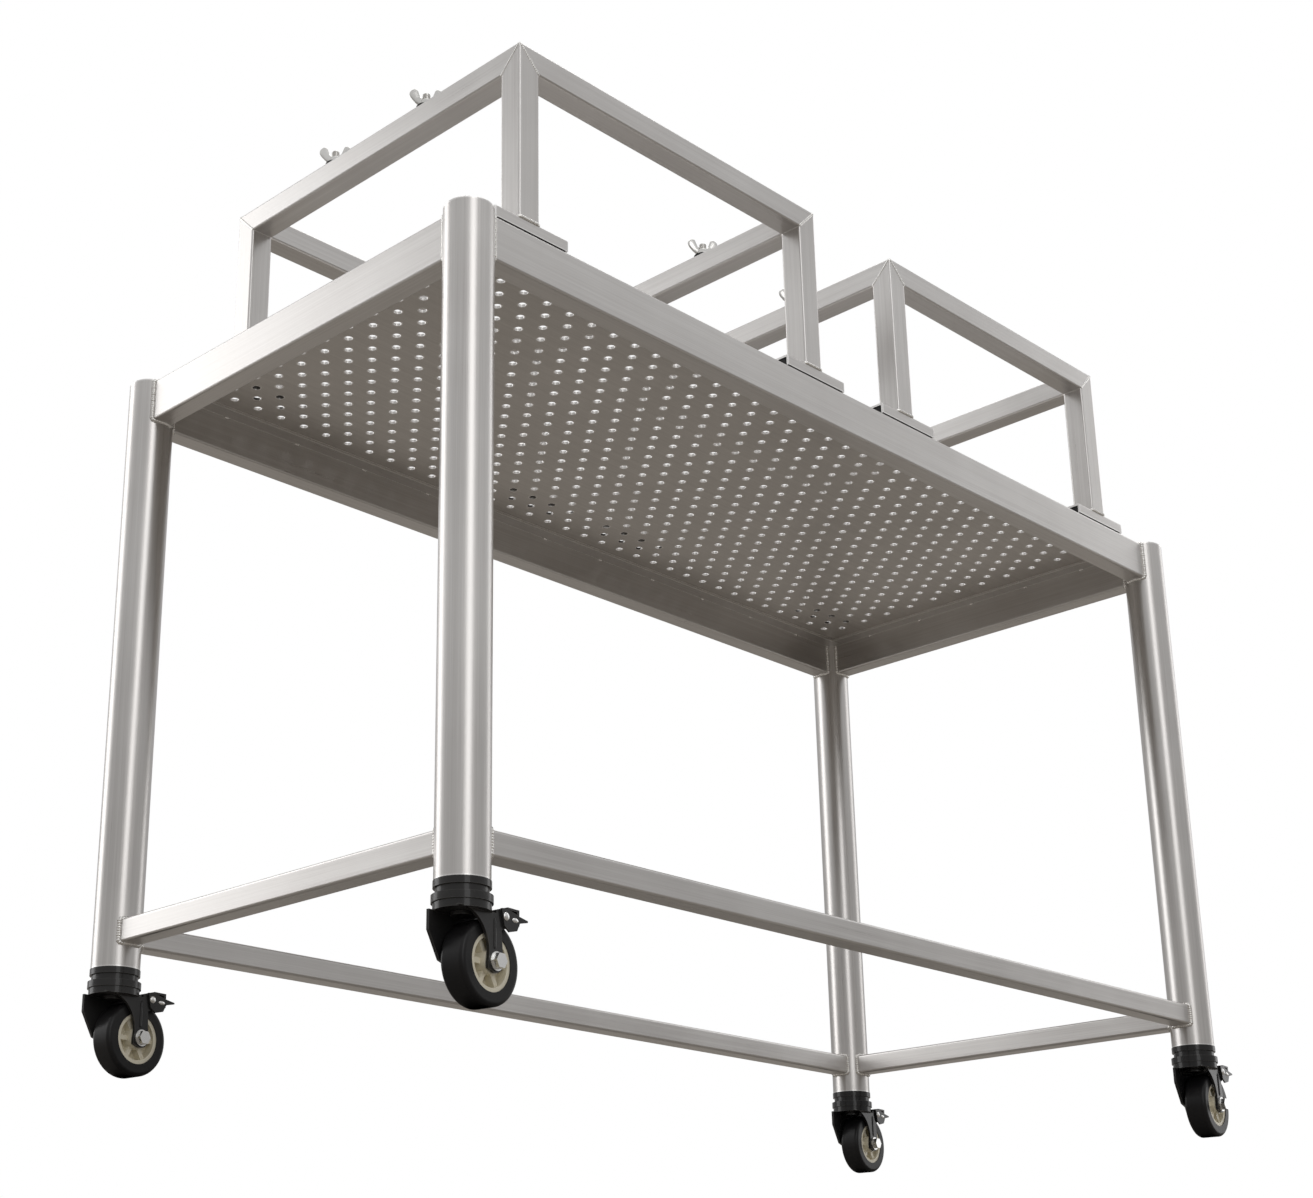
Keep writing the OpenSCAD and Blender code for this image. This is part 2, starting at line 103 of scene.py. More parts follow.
def joined(parts: list[Shape]) -> Shape:
    """Puts several shapes into one, by shifting each one's vertex numbers.

    Args:
        parts: vertices and faces of each shape.

    Returns:
        One array of vertices and one list of faces.
    """
    starts = np.cumsum([0] + [len(v) for v, _ in parts])
    faces = [[n + int(s) for n in f] for s, (_, fs) in zip(starts, parts) for f in fs]
    return np.concatenate([v for v, _ in parts]), faces


def new_piece(
    name: str,
    shape: Shape,
    body: str,
    material: bpy.types.Material,
) -> bpy.types.Object:
    """Makes a smooth piece at the origin, with its place in its mesh, riding on a CAD body.

    Args:
        name: the piece's name.
        shape: vertices and faces, in metres.
        body: the CAD body that it moves with.
        material: its finish.

    Returns:
        The new object.
    """
    mesh = bpy.data.meshes.new(name)
    mesh.from_pydata(shape[0].tolist(), [], shape[1])
    mesh.update()
    turn_outwards(mesh)
    mesh.polygons.foreach_set("use_smooth", np.ones(len(mesh.polygons), bool))
    piece = bpy.data.objects.new(name, mesh)
    bpy.context.scene.collection.objects.link(piece)
    piece.data.materials.append(material)
    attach(piece, body)
    log.info("%s: %d faces on %s", name, len(mesh.polygons), body)
    return piece


def turn_outwards(mesh: bpy.types.Mesh) -> None:
    """Turns every face of a mesh outwards.

    Args:
        mesh: a mesh of closed shells.
    """
    work = bmesh.new()
    work.from_mesh(mesh)
    bmesh.ops.recalc_face_normals(work, faces=work.faces)
    work.to_mesh(mesh)
    work.free()


def unit(v: np.ndarray) -> np.ndarray:
    """Scales each row of v to length one."""
    return v / np.maximum(np.linalg.norm(v, axis=-1, keepdims=True), 1e-12)


def bead(
    path: np.ndarray,
    outward: np.ndarray,
    radius: float,
    pitch: float,
    closed: bool,
    sides: int = 8,
    flat: float = 1.0,
) -> Shape:
    """A weld bead: a round section carried along a path, swelling once for every ripple.

    At length s the radius is radius * (1 + 0.16 * shape(s / pitch)), where shape is a
    leaning wave, steep on one side as the rings of a weld are. The section is
    radius * (cos a * across + flat * sin a * outward).

    Args:
        path: the points of the path, shape (n, 3).
        outward: the direction away from the metal at each point, shape (n, 3).
        radius: half the bead's width.
        pitch: distance between ripples.
        closed: the path is a loop.
        sides: points round the section.
        flat: height of the section over its half width.

    Returns:
        Vertices and faces.
    """
    ahead = np.roll(path, -1, 0) - np.roll(path, 1, 0) if closed else np.gradient(path, axis=0)
    along = unit(ahead)
    up = unit(outward - (outward * along).sum(1, keepdims=True) * along)
    across = np.cross(along, up)
    steps = np.linalg.norm(np.diff(path, axis=0), axis=1)
    s = np.concatenate([[0.0], np.cumsum(steps)])
    turns = 2 * np.pi * s / pitch
    swell = 1 + 0.16 * np.sin(turns + 0.6 * np.sin(turns)) + 0.05 * np.sin(0.37 * turns)
    if not closed:
        ends = np.minimum(np.arange(len(path)), np.arange(len(path))[::-1]) / 4
        swell = swell * np.sqrt(np.clip(1 - (1 - np.clip(ends, 0, 1)) ** 2, 0.02, 1))
    a = np.linspace(0, 2 * np.pi, sides, endpoint=False)
    section = np.cos(a)[:, None] * across[:, None] + flat * np.sin(a)[:, None] * up[:, None]
    points = path[:, None] + radius * swell[:, None, None] * section
    return closed_grid(points, caps=not closed)


def round_rectangle(w: float, h: float, r: float, step: float) -> np.ndarray:
    """Points evenly spaced round a rectangle with round corners, in its own plane.

    Args:
        w: width.
        h: height.
        r: corner radius.
        step: distance between points.

    Returns:
        Array of shape (n, 2), centred.
    """
    a = np.linspace(0, np.pi / 2, 9)
    corner = np.stack([np.cos(a), np.sin(a)], 1) * r
    turn = np.array([[1, 1], [-1, 1], [-1, -1], [1, -1]])
    arcs = [
        (corner if k % 2 == 0 else corner[::-1]) * turn[k] + turn[k] * [w / 2 - r, h / 2 - r]
        for k in range(4)
    ]
    loop = np.concatenate(arcs + [arcs[0][:1]])
    s = np.concatenate([[0], np.cumsum(np.linalg.norm(np.diff(loop, axis=0), axis=1))])
    at = np.linspace(0, s[-1], int(s[-1] / step), endpoint=False)
    return np.stack([np.interp(at, s, loop[:, 0]), np.interp(at, s, loop[:, 1])], 1)


def lathe(profile: np.ndarray, sides: int) -> Shape:
    """Turns a closed profile of radius and height round Z.

    Args:
        profile: points (radius, height) round the section, shape (n, 2).
        sides: steps round the axis.

    Returns:
        Vertices and faces of a ring.
    """
    a = np.linspace(0, 2 * np.pi, sides, endpoint=False)[:, None]
    x, y = profile[:, 0] * np.cos(a), profile[:, 0] * np.sin(a)
    z = np.broadcast_to(profile[:, 1], x.shape)
    return closed_grid(np.stack([x, y, z], -1), caps=False)


# ---------------------------------------------------------------- shader groups


def new_group(
    name: str, inputs: dict[str, tuple[str, object]], outputs: dict[str, str]
) -> tuple[bpy.types.NodeTree, bpy.types.Node, bpy.types.Node]:
    """Starts a shader node group.

    Args:
        name: the group's name.
        inputs: socket name to (socket type, default value).
        outputs: socket name to socket type.

    Returns:
        The group, its input node and its output node.
    """
    group = bpy.data.node_groups.new(name, "ShaderNodeTree")
    for key, (kind, value) in inputs.items():
        socket = group.interface.new_socket(key, in_out="INPUT", socket_type=kind)
        socket.default_value = value
    for key, kind in outputs.items():
        group.interface.new_socket(key, in_out="OUTPUT", socket_type=kind)
    return group, group.nodes.new("NodeGroupInput"), group.nodes.new("NodeGroupOutput")


def math_node(
    nodes: Nodes, links: Links, operation: str, a: object, b: object = None, clamp: bool = False
) -> Socket:
    """Adds a Math node, each of whose inputs is a number or a socket.

    Args:
        nodes: the tree's nodes.
        links: the tree's links.
        operation: the node's operation.
        a: first input.
        b: second input.
        clamp: keeps the result between 0 and 1.

    Returns:
        The node's output socket.
    """
    node = nodes.new("ShaderNodeMath")
    node.operation, node.use_clamp = operation, clamp
    for k, value in enumerate((a, b)):
        if isinstance(value, (int, float)):
            node.inputs[k].default_value = value
        elif value is not None:
            links.new(value, node.inputs[k])
    return node.outputs[0]


def weighted(
    nodes: Nodes, links: Links, a: Socket, share_a: float, b: Socket, share_b: float, clamp: bool = False
) -> Socket:
    """Adds two masks, each times its share.

    Args:
        nodes: the tree's nodes.
        links: the tree's links.
        a: first mask.
        share_a: its share.
        b: second mask.
        share_b: its share.
        clamp: keeps the sum between 0 and 1.

    Returns:
        The sum's socket.
    """
    first = math_node(nodes, links, "MULTIPLY", a, share_a)
    second = math_node(nodes, links, "MULTIPLY", b, share_b)
    return math_node(nodes, links, "ADD", first, second, clamp=clamp)


def noise(
    nodes: Nodes, links: Links, vector: Socket, scale: float, detail: float, rough: float = 0.5
) -> Socket:
    """Adds a Noise Texture node.

    Args:
        nodes: the tree's nodes.
        links: the tree's links.
        vector: the coordinates' socket.
        scale: the noise's scale.
        detail: octaves.
        rough: weight of the finer octaves.

    Returns:
        The noise value's socket.
    """
    node = nodes.new("ShaderNodeTexNoise")
    node.inputs["Scale"].default_value = scale
    node.inputs["Detail"].default_value = detail
    node.inputs["Roughness"].default_value = rough
    links.new(vector, node.inputs["Vector"])
    return node.outputs["Fac"]


class SharedEffects:
    """The node groups that the finishes share, each built once."""

    def __init__(self) -> None:
        """Builds the groups."""
        self.grain = self._brushed_grain()
        self.highlight_and_wear = self._edge_highlight_and_wear()
        self.marks = self._handling_marks()

    def _brushed_grain(self) -> bpy.types.NodeTree:
        """Fine lines along one direction: noise stretched along it, in two widths.

        Returns:
            The group, with a line mask and a height.
        """
        group, start, end = new_group(
            "brushed_grain",
            {"Vector": ("NodeSocketVector", (0, 0, 0)), "Stretch": ("NodeSocketVector", (1, 1, 1))},
            {"Lines": "NodeSocketFloat", "Height": "NodeSocketFloat"},
        )
        n, k = group.nodes, group.links
        scaled = n.new("ShaderNodeVectorMath")
        scaled.operation = "MULTIPLY"
        k.new(start.outputs["Vector"], scaled.inputs[0])
        k.new(start.outputs["Stretch"], scaled.inputs[1])
        fine = noise(n, k, scaled.outputs[0], 1.0, 4.0, 0.7)
        broad = noise(n, k, scaled.outputs[0], 0.22, 2.0)
        both = weighted(n, k, fine, 0.65, broad, 0.35)
        lines = n.new("ShaderNodeMapRange")
        lines.inputs["From Min"].default_value = 0.33
        lines.inputs["From Max"].default_value = 0.67
        k.new(both, lines.inputs["Value"])
        k.new(lines.outputs[0], end.inputs["Lines"])
        k.new(both, end.inputs["Height"])
        return group

    def _edge_highlight_and_wear(self) -> bpy.types.NodeTree:
        """A mask along outer edges, for painted highlights and for rubbed edges: how far a rounded normal
        leans from the true one.

        Returns:
            The group, with an edge mask broken up by noise.
        """
        group, start, end = new_group(
            "edge_highlight_and_wear",
            {
                "Vector": ("NodeSocketVector", (0, 0, 0)),
                "Amount": ("NodeSocketFloat", 1.0),
                "Width": ("NodeSocketFloat", 0.0012),
            },
            {"Edge": "NodeSocketFloat"},
        )
        n, k = group.nodes, group.links
        rounded = n.new("ShaderNodeBevel")
        rounded.samples = 4
        k.new(start.outputs["Width"], rounded.inputs["Radius"])
        flat = n.new("ShaderNodeNewGeometry")
        lean = n.new("ShaderNodeVectorMath")
        lean.operation = "DOT_PRODUCT"
        k.new(rounded.outputs["Normal"], lean.inputs[0])
        k.new(flat.outputs["Normal"], lean.inputs[1])
        away = math_node(n, k, "SUBTRACT", 1.0, lean.outputs["Value"], clamp=True)
        patchy = noise(n, k, start.outputs["Vector"], 140.0, 4.0)
        # Times 14, the lean shows as two thin lines, one at each side of a rounded corner: the lines that
        # the finishes fill with painted highlights.
        strong = math_node(n, k, "MULTIPLY", math_node(n, k, "MULTIPLY", away, 14.0), patchy)
        edge = math_node(n, k, "MULTIPLY", strong, start.outputs["Amount"], clamp=True)
        k.new(edge, end.inputs["Edge"])
        return group

    def _handling_marks(self) -> bpy.types.NodeTree:
        """Faint smudges and dust: slow noise, and fine specks of it.

        Returns:
            The group, with a smudge mask and a dust mask.
        """
        group, start, end = new_group(
            "handling_marks",
            {"Vector": ("NodeSocketVector", (0, 0, 0))},
            {"Smudge": "NodeSocketFloat", "Dust": "NodeSocketFloat"},
        )
        n, k = group.nodes, group.links
        slow = noise(n, k, start.outputs["Vector"], 7.0, 3.0)
        smudge = n.new("ShaderNodeMapRange")
        smudge.inputs["From Min"].default_value = 0.35
        smudge.inputs["From Max"].default_value = 0.7
        k.new(slow, smudge.inputs["Value"])
        specks = noise(n, k, start.outputs["Vector"], 420.0, 2.0)
        above = math_node(n, k, "SUBTRACT", specks, 0.62, clamp=True)
        dust = math_node(n, k, "MULTIPLY", above, 6.0, clamp=True)
        k.new(smudge.outputs[0], end.inputs["Smudge"])
        k.new(dust, end.inputs["Dust"])
        return group


# ---------------------------------------------------------------- finishes


@dataclass(frozen=True)
class Finish:
    """What all finishes hold: a name, two colours that the pattern mixes, and a roughness."""

    name: str
    dark: Colour
    light: Colour
    rough: float
    spread: float

    def start(self) -> tuple[bpy.types.Material, Nodes, Links, Shader, Socket]:
        """Makes the material with its Principled shader.

        Returns:
            The material, its nodes, its links, the shader and the coordinates' socket.
        """
        material = bpy.data.materials.new(self.name)
        material.use_nodes = True
        nodes, links = material.node_tree.nodes, material.node_tree.links
        shader = nodes["Principled BSDF"]
        shader.inputs["Roughness"].default_value = self.rough
        place = nodes.new("ShaderNodeTexCoord")
        return material, nodes, links, shader, place.outputs["Object"]

    def colour(self, nodes: Nodes, links: Links, shader: Shader, factor: Socket) -> Socket:
        """Mixes the dark and the light colour by a mask into Base Color.

        Args:
            nodes: the material's nodes.
            links: the material's links.
            shader: the Principled shader.
            factor: the mask's socket.

        Returns:
            The mixed colour's socket.
        """
        mix = nodes.new("ShaderNodeMix")
        mix.data_type = "RGBA"
        mix.inputs["A"].default_value = (*self.dark, 1)
        mix.inputs["B"].default_value = (*self.light, 1)
        links.new(factor, mix.inputs["Factor"])
        links.new(mix.outputs["Result"], shader.inputs["Base Color"])
        return mix.outputs["Result"]

    def bright_edge(
        self, nodes: Nodes, links: Links, shader: Shader, base: Socket, edge: Socket, colour: Colour
    ) -> None:
        """Lays a painted highlight colour over the mixed one, along the edge mask.

        Args:
            nodes: the material's nodes.
            links: the material's links.
            shader: the Principled shader.
            base: the mixed colour's socket.
            edge: the edge mask's socket.
            colour: the painted highlight's colour.
        """
        mix = nodes.new("ShaderNodeMix")
        mix.data_type = "RGBA"
        mix.inputs["B"].default_value = (*colour, 1)
        links.new(base, mix.inputs["A"])
        links.new(edge, mix.inputs["Factor"])
        links.new(mix.outputs["Result"], shader.inputs["Base Color"])

    def roughness(self, nodes: Nodes, links: Links, shader: Shader, factor: Socket) -> None:
        """Spreads the roughness round its middle by a mask.

        Args:
            nodes: the material's nodes.
            links: the material's links.
            shader: the Principled shader.
            factor: the mask's socket.
        """
        spread = nodes.new("ShaderNodeMapRange")
        spread.inputs["To Min"].default_value = self.rough - self.spread
        spread.inputs["To Max"].default_value = self.rough + self.spread
        links.new(factor, spread.inputs["Value"])
        links.new(spread.outputs[0], shader.inputs["Roughness"])

    def bump(
        self, nodes: Nodes, links: Links, shader: Shader, height: Socket, strength: float, depth: float
    ) -> None:
        """Feeds a height through a Bump node into Normal.

        Args:
            nodes: the material's nodes.
            links: the material's links.
            shader: the Principled shader.
            height: the height's socket.
            strength: the bump's strength.
            depth: its depth in metres.
        """
        node = nodes.new("ShaderNodeBump")
        node.inputs["Strength"].default_value = strength
        node.inputs["Distance"].default_value = depth
        links.new(height, node.inputs["Height"])
        links.new(node.outputs[0], shader.inputs["Normal"])


def place_group(
    nodes: Nodes, links: Links, group: bpy.types.NodeTree, vector: Socket
) -> bpy.types.ShaderNodeGroup:
    """Places a shared group and feeds it the coordinates.

    Args:
        nodes: the material's nodes.
        links: the material's links.
        group: the node group.
        vector: the coordinates' socket.

    Returns:
        The group's node.
    """
    node = nodes.new("ShaderNodeGroup")
    node.node_tree = group
    links.new(vector, node.inputs["Vector"])
    return node


@dataclass(frozen=True)
class BrushedSteel(Finish):
    """Satin stainless steel, brushed along one direction, with painted highlight lines along its rounded
    edges.
    """

    grain: Grain = Grain.ALONG_X
    # the near-white colour of the painted highlight lines
    edge: Colour = (0.93, 0.92, 0.91)

    def build(self, shared: SharedEffects) -> bpy.types.Material:
        """Makes the material.

        Args:
            shared: the shared node groups.

        Returns:
            The material.
        """
        material, nodes, links, shader, place = self.start()
        shader.inputs["Metallic"].default_value = 1.0
        lines = place_group(nodes, links, shared.grain, place)
        lines.inputs["Stretch"].default_value = self.grain.value
        marks = place_group(nodes, links, shared.marks, place)
        highlight_and_wear = place_group(nodes, links, shared.highlight_and_wear, place)
        # the edge mask, 3 mm wide, marks two lines on each rounded tube corner for painted highlights
        highlight_and_wear.inputs["Amount"].default_value = 1.4
        highlight_and_wear.inputs["Width"].default_value = 0.003
        tone = weighted(nodes, links, lines.outputs["Lines"], 0.65, marks.outputs["Smudge"], 0.35)
        mixed = self.colour(nodes, links, shader, tone)
        # painted highlight: the near-white edge colour laid over the brushed tone
        self.bright_edge(nodes, links, shader, mixed, highlight_and_wear.outputs["Edge"], self.edge)
        self.roughness(nodes, links, shader, tone)
        self.bump(nodes, links, shader, lines.outputs["Height"], 0.22, 0.00012)
        return material


@dataclass(frozen=True)
class WeldSteel(Finish):
    """A weld bead left bright, with a little heat colour."""

    def build(self, shared: SharedEffects) -> bpy.types.Material:
        """Makes the material.

        Args:
            shared: the shared node groups.

        Returns:
            The material.
        """
        material, nodes, links, shader, place = self.start()
        shader.inputs["Metallic"].default_value = 1.0
        crust = noise(nodes, links, place, 900.0, 5.0, 0.7)
        marks = place_group(nodes, links, shared.marks, place)
        mixed = weighted(nodes, links, crust, 0.7, marks.outputs["Smudge"], 0.3)
        self.colour(nodes, links, shader, mixed)
        self.roughness(nodes, links, shader, crust)
        self.bump(nodes, links, shader, crust, 0.8, 0.0004)
        return material


@dataclass(frozen=True)
class CastSteel(Finish):
    """Small bright hardware: cast or turned, with a fine pebbled skin."""

    def build(self, shared: SharedEffects) -> bpy.types.Material:
        """Makes the material.

        Args:
            shared: the shared node groups.

        Returns:
            The material.
        """
        material, nodes, links, shader, place = self.start()
        shader.inputs["Metallic"].default_value = 1.0
        skin = noise(nodes, links, place, 1500.0, 3.0)
        marks = place_group(nodes, links, shared.marks, place)
        highlight_and_wear = place_group(nodes, links, shared.highlight_and_wear, place)
        # Lighter along rounded edges by the edge mask: partly rubbed edges, partly painted highlight.
        tone = math_node(nodes, links, "ADD", marks.outputs["Smudge"], highlight_and_wear.outputs["Edge"], clamp=True)
        self.colour(nodes, links, shader, tone)
        self.roughness(nodes, links, shader, skin)
        self.bump(nodes, links, shader, skin, 0.15, 0.00015)
        return material


@dataclass(frozen=True)
class PaintedBlack(Finish):
    """Black coated pressed steel, lighter along its rounded edges: partly where the coat is rubbed through,
    partly painted highlight.
    """

    def build(self, shared: SharedEffects) -> bpy.types.Material:
        """Makes the material.

        Args:
            shared: the shared node groups.

        Returns:
            The material.
        """
        material, nodes, links, shader, place = self.start()
        peel = noise(nodes, links, place, 700.0, 3.0)
        marks = place_group(nodes, links, shared.marks, place)
        highlight_and_wear = place_group(nodes, links, shared.highlight_and_wear, place)
        highlight_and_wear.inputs["Amount"].default_value = 0.7
        tone = math_node(nodes, links, "MULTIPLY", marks.outputs["Smudge"], 0.4)
        # The edge mask lightens the coat along rounded edges: partly rubbed coat, partly painted highlight.
        smudge_wear_and_highlight = math_node(nodes, links, "ADD", tone, highlight_and_wear.outputs["Edge"], clamp=True)
        specks = math_node(nodes, links, "MULTIPLY", marks.outputs["Dust"], 0.25)
        dusty = math_node(nodes, links, "ADD", smudge_wear_and_highlight, specks, clamp=True)
        self.colour(nodes, links, shader, dusty)
        self.roughness(nodes, links, shader, marks.outputs["Smudge"])
        self.bump(nodes, links, shader, peel, 0.2, 0.00015)
        shader.inputs["Specular IOR Level"].default_value = 0.18
        shader.inputs["Coat Weight"].default_value = 0.35
        shader.inputs["Coat Roughness"].default_value = 0.08
        return material


@dataclass(frozen=True)
class Moulded(Finish):
    """Rubber, polyurethane or nylon: a matt skin with fine pores and a little dust."""

    pores: float = 900.0
    depth: float = 0.0001
    shine: float = 0.25

    def build(self, shared: SharedEffects) -> bpy.types.Material:
        """Makes the material.

        Args:
            shared: the shared node groups.

        Returns:
            The material.
        """
        material, nodes, links, shader, place = self.start()
        skin = noise(nodes, links, place, self.pores, 3.0)
        marks = place_group(nodes, links, shared.marks, place)
        dusty = weighted(nodes, links, marks.outputs["Smudge"], 0.6, marks.outputs["Dust"], 0.4, clamp=True)
        self.colour(nodes, links, shader, dusty)
        self.roughness(nodes, links, shader, skin)
        self.bump(nodes, links, shader, skin, 0.25, self.depth)
        shader.inputs["Specular IOR Level"].default_value = self.shine
        return material


class Finishes:
    """Every finish of the object, built once."""

    def __init__(self) -> None:
        """Builds the shared effects and the materials."""
        shared = SharedEffects()
        dark, light = (0.50, 0.48, 0.465), (0.68, 0.665, 0.65)
        for axis in Grain:
            name = "brushed_steel_" + axis.name.lower()
            made = BrushedSteel(name, dark, light, 0.33, 0.07, grain=axis).build(shared)
            setattr(self, axis.name, made)
        self.sheet = BrushedSteel(
            "sheet_steel", (0.47, 0.448, 0.425), (0.63, 0.605, 0.58), 0.42, 0.06, grain=Grain.ALONG_X
        ).build(shared)
        self.weld = WeldSteel("weld_bead", (0.62, 0.60, 0.57), (0.97, 0.96, 0.94), 0.24, 0.10).build(shared)
        self.cast = CastSteel("cast_steel", (0.58, 0.57, 0.55), (0.78, 0.77, 0.75), 0.24, 0.08).build(shared)
        self.zinc = CastSteel("zinc_plate", (0.72, 0.72, 0.71), (0.88, 0.88, 0.87), 0.22, 0.07).build(shared)
        self.black = PaintedBlack(
            "black_coat", (0.007, 0.007, 0.008), (0.06, 0.058, 0.056), 0.30, 0.08
        ).build(shared)
        self.tyre = Moulded(
            "tyre_polyurethane", (0.006, 0.006, 0.007), (0.022, 0.021, 0.021), 0.33, 0.07
        ).build(shared)
        self.rubber = Moulded(
            "black_rubber", (0.010, 0.010, 0.010), (0.028, 0.027, 0.026), 0.6, 0.1
        ).build(shared)
        self.nylon = Moulded(
            "cream_nylon", (0.72, 0.67, 0.53), (0.86, 0.82, 0.69), 0.36, 0.07, pores=500.0, shine=0.5
        ).build(shared)


def dress(material: bpy.types.Material, *names: str) -> None:
    """Gives CAD nodes a material.

    Args:
        material: the finish.
        *names: the nodes' names.
    """
    for name in names:
        node = frame["nodes"][name]
        node.data.materials.clear()
        node.data.materials.append(material)
        log.info("%s wears %s", name, material.name)


# ---------------------------------------------------------------- the object


@dataclass
class Platform:
    """The welded deck frame: legs, rails, sheet, ledge and stretchers."""

    rail_h: float = 49 * MM
    rail_w: float = 25 * MM
    stretcher: float = 25 * MM
    corner: float = 3 * MM
    bead_r: float = 2.5 * MM
    ripple: float = 2.6 * MM

    def dress(self, finish: Finishes) -> None:
        """Gives the CAD nodes their brushed steel, each grain along its tube."""
        dress(finish.ALONG_Z, *("leg_" + c for c in CORNERS))
        dress(finish.ALONG_X, "rail_front", "rail_back", "stretcher_front", "stretcher_back", "deck_ledge")
        dress(finish.ALONG_Y, "rail_left", "rail_right", "stretcher_left", "stretcher_right")
        dress(finish.sheet, "deck_sheet", "leg_inserts")

    def saddle(self, leg: str, along: int, w: float, h: float, z: float) -> tuple[np.ndarray, np.ndarray]:
        """The line where a rectangular tube meets a round leg.

        The tube's outline gives the sideways place t and the height; on the leg's round
        face the line stands sqrt(r^2 - t^2) from the leg's axis.

        Args:
            leg: the leg's node.
            along: 0 if the tube runs along X, 1 along Y.
            w: the tube's width.
            h: the tube's height.
            z: height of the tube's middle.

        Returns:
            The path, and the direction outwards at each point.
        """
        lo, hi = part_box(leg)
        mid = (np.array(lo) + np.array(hi)) / 2
        r = (hi[0] - lo[0]) / 2
        rim = round_rectangle(w + 0.6 * MM, h + 0.6 * MM, self.corner, 0.7 * MM)
        away = -math.copysign(1.0, mid[along])
        reach = away * np.sqrt(r**2 - rim[:, 0] ** 2)
        path = np.zeros((len(rim), 3))
        path[:, along] = mid[along] + reach
        path[:, 1 - along] = mid[1 - along] + rim[:, 0]
        path[:, 2] = z + rim[:, 1]
        out = np.zeros_like(path)
        out[:, 1 - along] = rim[:, 0] / (w / 2)
        out[:, 2] = rim[:, 1] / (h / 2)
        sharp = np.sign(out) * np.abs(out) ** 12
        sharp[:, along] = away * 0.7
        return path, unit(sharp)

    def welds(self, finish: Finishes) -> None:
        """Builds the beads round the ends of the rails and of the stretchers."""
        kinds = (("rail", self.rail_w, self.rail_h), ("stretcher", self.stretcher, self.stretcher))
        for kind, w, h in kinds:
            lo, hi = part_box(kind + "_front")
            z = (lo[2] + hi[2]) / 2
            for leg in CORNERS:
                shapes = []
                for along in (0, 1):
                    path, out = self.saddle("leg_" + leg, along, w, h, z)
                    shapes.append(bead(path, out, self.bead_r, self.ripple, True))
                new_piece(f"weld_{kind}_{leg}", joined(shapes), "platform", finish.weld)

    def leg_tops(self, finish: Finishes) -> None:
        """Builds the fine bead where each leg's top plate is welded in."""
        a = np.linspace(0, 2 * np.pi, 180, endpoint=False)
        ring = np.stack([np.cos(a), np.sin(a), 0 * a], 1)
        shapes = []
        for leg in CORNERS:
            lo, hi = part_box("leg_" + leg)
            r = (hi[0] - lo[0]) / 2 - 1.6 * MM
            mid = np.array([(lo[0] + hi[0]) / 2, (lo[1] + hi[1]) / 2, hi[2] - 0.9 * MM])
            up = ring * 0.3 + [0, 0, 1]
            shapes.append(bead(mid + ring * r, up, 1.1 * MM, 2.2 * MM, True, flat=0.8))
        new_piece("weld_leg_tops", joined(shapes), "platform", finish.weld)

    def tacks(self, finish: Finishes) -> None:
        """Builds the small tack welds between the ledge and the rails."""
        u = np.linspace(0, 2 * np.pi, 8, endpoint=False)
        v = np.linspace(0.05, np.pi - 0.05, 6)
        ball = np.stack(
            [
                np.cos(v)[:, None] * np.ones_like(u),
                np.sin(v)[:, None] * np.cos(u),
                np.sin(v)[:, None] * np.sin(u),
            ],
            -1,
        )
        lo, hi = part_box("deck_ledge")
        z = lo[2]
        shapes = []
        for side in (-1, 1):
            for x in np.arange(-0.52, 0.53, 0.104):
                size = np.array([3.6, 1.7, 1.7]) * MM
                place = np.array([x, side * (hi[1] - 0.4 * MM), z - 0.3 * MM])
                shapes.append(closed_grid(ball * size + place))
        for side in (-1, 1):
            for y in np.arange(-0.18, 0.19, 0.09):
                size = np.array([3.6, 1.7, 1.7]) * MM
                place = np.array([side * (hi[0] - 0.4 * MM), y, z - 0.3 * MM])
                shapes.append(closed_grid((ball * size)[..., [1, 0, 2]] + place))
        new_piece("ledge_tacks", joined(shapes), "platform", finish.weld)

    def build(self, finish: Finishes) -> None:
        """Dresses the CAD nodes and builds the welds."""
        self.dress(finish)
        self.welds(finish)
        self.leg_tops(finish)
        self.tacks(finish)


